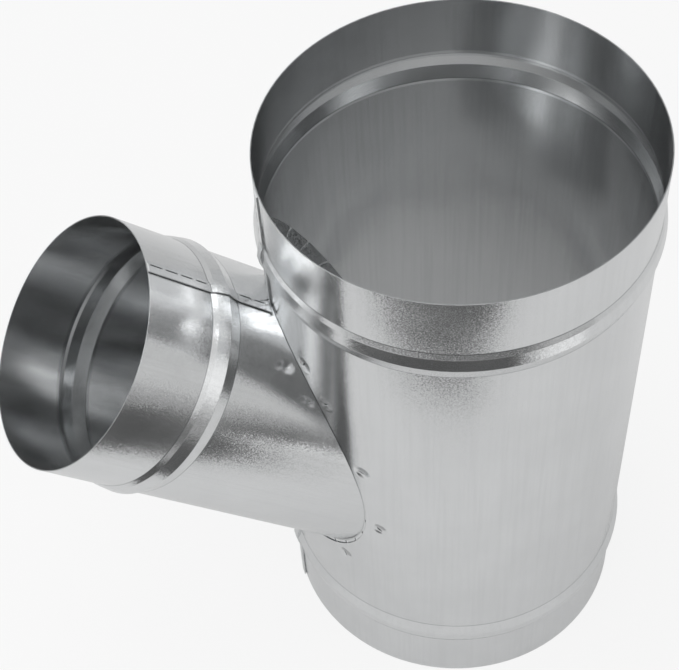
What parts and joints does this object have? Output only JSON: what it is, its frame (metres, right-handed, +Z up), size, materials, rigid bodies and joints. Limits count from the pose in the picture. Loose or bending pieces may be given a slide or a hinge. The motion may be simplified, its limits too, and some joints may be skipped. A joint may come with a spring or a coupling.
{
  "type": "duct y branch",
  "caption": "Reducing duct Y branch: a round galvanised duct with a smaller round duct joined into its side at a slant, with stop beads and lock seams.",
  "frame": {"origin": "centre of the main duct's lower rim, on its axis", "axes": "+Z up the main duct's axis; the branch leans up and towards -X, in the XZ plane"},
  "size_m": [0.5381, 0.3124, 0.555],
  "materials": {
    "main_sheet": "bright galvanised sheet, fine speckle, soft gloss",
    "branch_sheet": "bright galvanised sheet, fine speckle, soft gloss"
  },
  "bodies": {
    "root": {"main_tube": "main_sheet", "branch_tube": "branch_sheet"}
  },
  "joints": []
}
